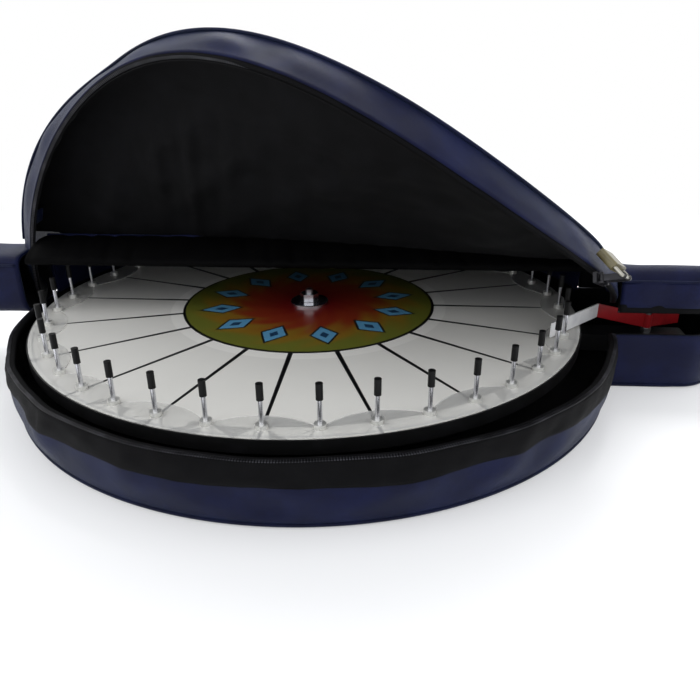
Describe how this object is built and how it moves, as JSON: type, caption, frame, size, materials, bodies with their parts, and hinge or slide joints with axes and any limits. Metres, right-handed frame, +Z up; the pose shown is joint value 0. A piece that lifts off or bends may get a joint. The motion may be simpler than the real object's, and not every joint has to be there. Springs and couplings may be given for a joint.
{
  "type": "prize wheel carry bag",
  "caption": "Round padded carry bag for a prize wheel, with two side arms and a zip-round lid folded half open over the pegged wheel and its flapper",
  "frame": {"origin": "centre of the round part, on the face that rests on the floor", "axes": "+X towards the long arm with the flapper, +Y towards the closed back of the bag, +Z up"},
  "size_m": [1.156, 0.8559, 0.4624],
  "materials": {
    "navy_cloth": "padded woven nylon",
    "navy_piping": "woven piping",
    "black_lining": "thin woven lining",
    "black_zip_tape": "zip tape with coil teeth",
    "foam": "closed-cell foam",
    "black_steel": "satin black paint",
    "black_plastic": "fine texture",
    "steel": "zinc plated",
    "chrome": "bright",
    "black_rubber": "matte",
    "white_face": "semi-gloss with black rays",
    "clear_plastic": "clear",
    "printed_centre": "printed, olive rim to a red centre",
    "red_plastic": "semi-gloss",
    "white_plastic": "semi-gloss",
    "zip_metal": "satin black",
    "shackle_steel": "satin",
    "padlock_enamel": "olive-brown enamel"
  },
  "bodies": {
    "bag": {"base_floor": "navy_cloth", "floor_foam": "foam", "base_wall": "navy_cloth", "base_zip_tape": "black_zip_tape", "base_lining": "black_lining", "bag_piping": "navy_piping", "rear_cover": "navy_cloth", "rear_gusset": "navy_cloth", "rear_lining": "black_lining", "fold_strip": "black_lining", "fold_caps": "navy_cloth", "sleeve": "navy_cloth", "sleeve_lining": "black_lining", "mast_tube": "black_steel", "mast_caps": "black_plastic", "support_blocks": "foam", "bearing_plate": "black_steel", "axle": "steel", "hub_nut": "chrome", "flapper_post": "steel", "post_nuts": "steel"},
    "lid_left": {"lid_left_panel": "navy_cloth", "lid_left_gusset": "navy_cloth", "lid_left_zip_tape": "black_zip_tape", "lid_left_lining": "black_lining", "lid_left_piping": "navy_piping", "cloth_tab": "navy_cloth"},
    "lid_middle": {"lid_middle_panel": "navy_cloth", "lid_middle_gusset": "navy_cloth", "lid_middle_zip_tape": "black_zip_tape", "lid_middle_lining": "black_lining", "lid_middle_piping": "navy_piping"},
    "lid_right": {"lid_right_panel": "navy_cloth", "lid_right_gusset": "navy_cloth", "lid_right_zip_tape": "black_zip_tape", "lid_right_lining": "black_lining", "lid_right_piping": "navy_piping", "zip_sliders": "zip_metal", "zip_pulls": "zip_metal"},
    "arm": {"arm_cover": "navy_cloth", "arm_zip_tape": "black_zip_tape", "arm_lining": "black_lining", "arm_piping": "navy_piping"},
    "shackle": {"padlock_shackle": "shackle_steel"},
    "padlock": {"padlock_body": "padlock_enamel"},
    "wheel": {"wheel_board": "black_plastic", "edge_trim": "black_plastic", "face_sheet": "white_face", "clear_cover": "clear_plastic", "centre_print": "printed_centre", "peg_shafts": "chrome", "peg_flanges": "chrome", "peg_tips": "black_rubber", "hub_bushing": "steel", "front_flange": "chrome", "rear_flange": "black_steel", "flange_screws": "steel"},
    "flapper": {"flapper_strap": "red_plastic", "flapper_tip": "white_plastic"}
  },
  "joints": [
    {"name": "lid_open", "type": "hinge", "parent": "bag", "child": "lid_left", "pos_m": [0, -0.02, 0.08], "axis": [-1, 0, 0], "range_deg": [-78, 0]},
    {"name": "lid_middle_twist", "type": "hinge", "parent": "lid_left", "child": "lid_middle", "pos_m": [0, -0.02, 0.08], "axis": [-1, 0, 0], "range_deg": [-0.1, 25.1]},
    {"name": "lid_right_twist", "type": "hinge", "parent": "lid_left", "child": "lid_right", "pos_m": [0, -0.02, 0.08], "axis": [-1, 0, 0], "range_deg": [-0.1, 50.1]},
    {"name": "arm_open", "type": "hinge", "parent": "bag", "child": "arm", "pos_m": [0.5, 0.1, 0.08], "axis": [-1, 0, 0], "range_deg": [-8.05, 0.1]},
    {"name": "padlock_swing", "type": "hinge", "parent": "lid_right", "child": "shackle", "pos_m": [0.36378, -0.24114, 0.2054], "axis": [0.6018, 0.7052, -0.3749], "range_deg": [0, 60]},
    {"name": "padlock_pop", "type": "slide", "parent": "shackle", "child": "padlock", "axis": [-0.5026, 0.6993, 0.5084], "range_m": [0, 0.005]},
    {"name": "wheel_spin", "type": "hinge", "parent": "bag", "child": "wheel", "pos_m": [-0.01, -0.001, 0.083], "axis": [0, 0, 1], "continuous": true, "deforming": ["flapper_tip"]},
    {"name": "flapper_swing", "type": "hinge", "parent": "bag", "child": "flapper", "pos_m": [0.48597, -0.02786, 0.08], "axis": [0, 0, 1], "range_deg": [-4, 0.4], "stiffness_Nm_per_rad": 0.3}
  ],
  "couplings": [
    {"joint": "lid_middle_twist", "follows": "lid_open", "ratio": -0.32051},
    {"joint": "lid_right_twist", "follows": "lid_open", "ratio": -0.64103},
    {"joint": "arm_open", "follows": "lid_open", "ratio": 0.10256}
  ]
}
